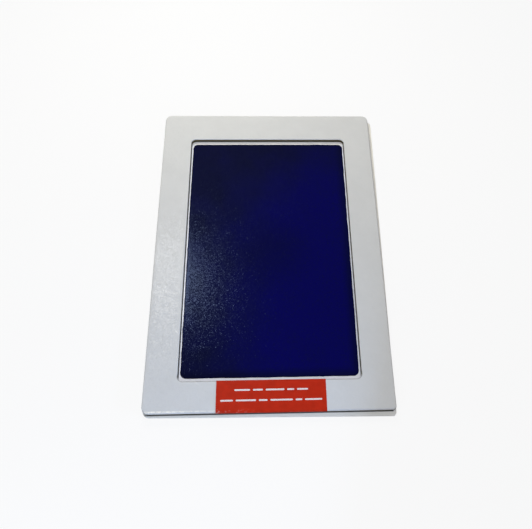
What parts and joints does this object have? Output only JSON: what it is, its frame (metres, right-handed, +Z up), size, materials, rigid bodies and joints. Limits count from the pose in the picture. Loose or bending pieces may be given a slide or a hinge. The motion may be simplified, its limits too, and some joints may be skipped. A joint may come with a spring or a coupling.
{
  "type": "ink print pad",
  "caption": "Flat clean-touch ink print pad: a sheet of blue ink on a film, sunk behind the window of a white card frame, for taking paw, hand or foot prints.",
  "frame": {"origin": "on the surface that the pad lies on, under the middle of the whole pad", "axes": "+Z up out of the ink side, +Y along the pad from the red label to the far rail, +X to the right"},
  "size_m": [0.1062, 0.157, 0.0036],
  "materials": {
    "face_paper": "satin",
    "board_core": "matte",
    "white_card": "matte",
    "film": "satin",
    "ink": "satin",
    "tape": "matte",
    "red_label": "satin"
  },
  "bodies": {
    "frame": {"ink_side_face_paper": "face_paper", "ink_side_board": "board_core", "red_label": "red_label", "carrier_film": "film", "film_tape_left": "tape", "film_tape_right": "tape", "film_tape_near": "tape", "film_tape_far": "tape", "frame_tape_left": "tape", "frame_tape_right": "tape", "frame_tape_near": "tape", "frame_tape_far": "tape", "press_side_frame": "white_card"},
    "inked_sheet": {"ink_layer": "ink"}
  },
  "joints": [
    {"name": "film_press", "type": "slide", "parent": "frame", "child": "inked_sheet", "axis": [0, 0, 1], "range_m": [0, 0.002], "stiffness_N_per_m": 250, "deforming": ["carrier_film"]}
  ]
}
